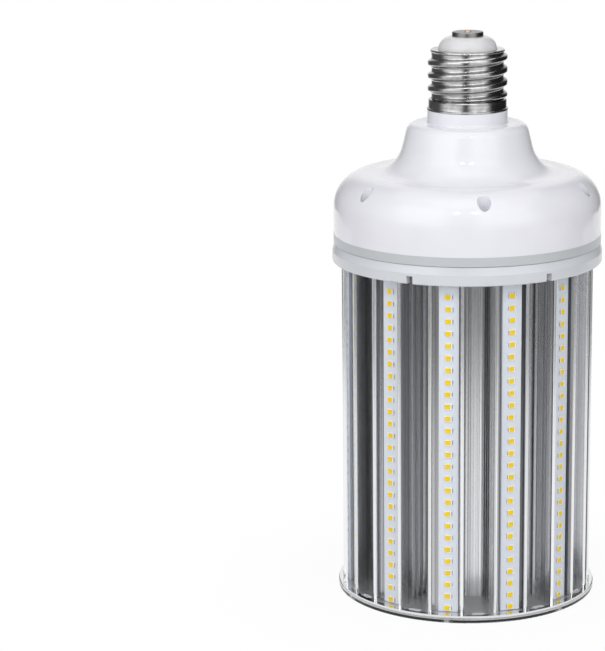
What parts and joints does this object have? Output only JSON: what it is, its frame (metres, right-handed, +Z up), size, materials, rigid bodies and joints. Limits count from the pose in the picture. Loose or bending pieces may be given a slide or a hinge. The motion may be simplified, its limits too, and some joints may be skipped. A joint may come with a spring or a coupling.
{
  "type": "corn led bulb",
  "caption": "Corn-cob LED lamp: finned aluminium body with rows of light chips in rails, domed white driver housing, mogul screw cap and clear end cover.",
  "frame": {"origin": "middle of the end cover's flat underside, on the lamp's axis", "axes": "+Z up along the lamp's axis from the end cover to the centre contact of the screw cap; +X to the viewer's right, the viewer at -Y"},
  "size_m": [0.1344, 0.1344, 0.284],
  "materials": {
    "sink_aluminium": "extruded, bright, bare",
    "rim_moulding": "light grey, glossy",
    "grey_moulding": "light grey, smooth",
    "white_moulding": "white, smooth, semi-gloss",
    "nickel_plate": "pressed and nickel plated",
    "insulator": "pale grey, glazed look",
    "contact_metal": "plated disc, fine turned face",
    "solder": "dull drop",
    "end_plate_aluminium": "punched sheet, brushed",
    "board_white": "white solder mask",
    "led_yellow": "yellow phosphor in a white cup",
    "clear_cover": "clear moulded plastic",
    "board_green": "green circuit board",
    "ferrite": "dark pressed ferrite",
    "tape_yellow": "yellow winding tape",
    "sleeve_black": "shrunk sleeve",
    "film_blue": "dipped resin",
    "rectifier_black": "moulded resin",
    "copper_wire": "enamelled winding",
    "lead_black": "insulated wire",
    "lead_white": "insulated wire",
    "screw_steel": "zinc plated"
  },
  "bodies": {
    "root": {"heat_sink": "sink_aluminium", "top_plate": "rim_moulding", "housing_base": "grey_moulding", "driver_housing": "white_moulding", "screw_shell": "nickel_plate", "base_insulator": "insulator", "centre_contact": "contact_metal", "contact_solder": "solder", "end_plate": "end_plate_aluminium", "end_board": "board_white", "end_leds": "led_yellow", "end_cover": "clear_cover", "driver_board": "board_green", "transformer_core": "ferrite", "transformer_coil": "tape_yellow", "mains_capacitors": "sleeve_black", "output_capacitors": "sleeve_black", "film_capacitor": "film_blue", "bridge_rectifier": "rectifier_black", "choke_coil": "copper_wire", "contact_lead": "lead_black", "shell_lead": "lead_white", "end_board_lead": "lead_white", "cover_screws": "screw_steel", "board_screws": "screw_steel", "plate_screws": "screw_steel", "housing_screws": "screw_steel", "driver_screws": "screw_steel", "led_board_01": "board_white", "strip_leds_01": "led_yellow", "led_board_02": "board_white", "strip_leds_02": "led_yellow", "led_board_03": "board_white", "strip_leds_03": "led_yellow", "led_board_04": "board_white", "strip_leds_04": "led_yellow", "led_board_05": "board_white", "strip_leds_05": "led_yellow", "led_board_06": "board_white", "strip_leds_06": "led_yellow", "led_board_07": "board_white", "strip_leds_07": "led_yellow", "led_board_08": "board_white", "strip_leds_08": "led_yellow", "led_board_09": "board_white", "strip_leds_09": "led_yellow", "led_board_10": "board_white", "strip_leds_10": "led_yellow", "led_board_11": "board_white", "strip_leds_11": "led_yellow", "led_board_12": "board_white", "strip_leds_12": "led_yellow"}
  },
  "joints": []
}
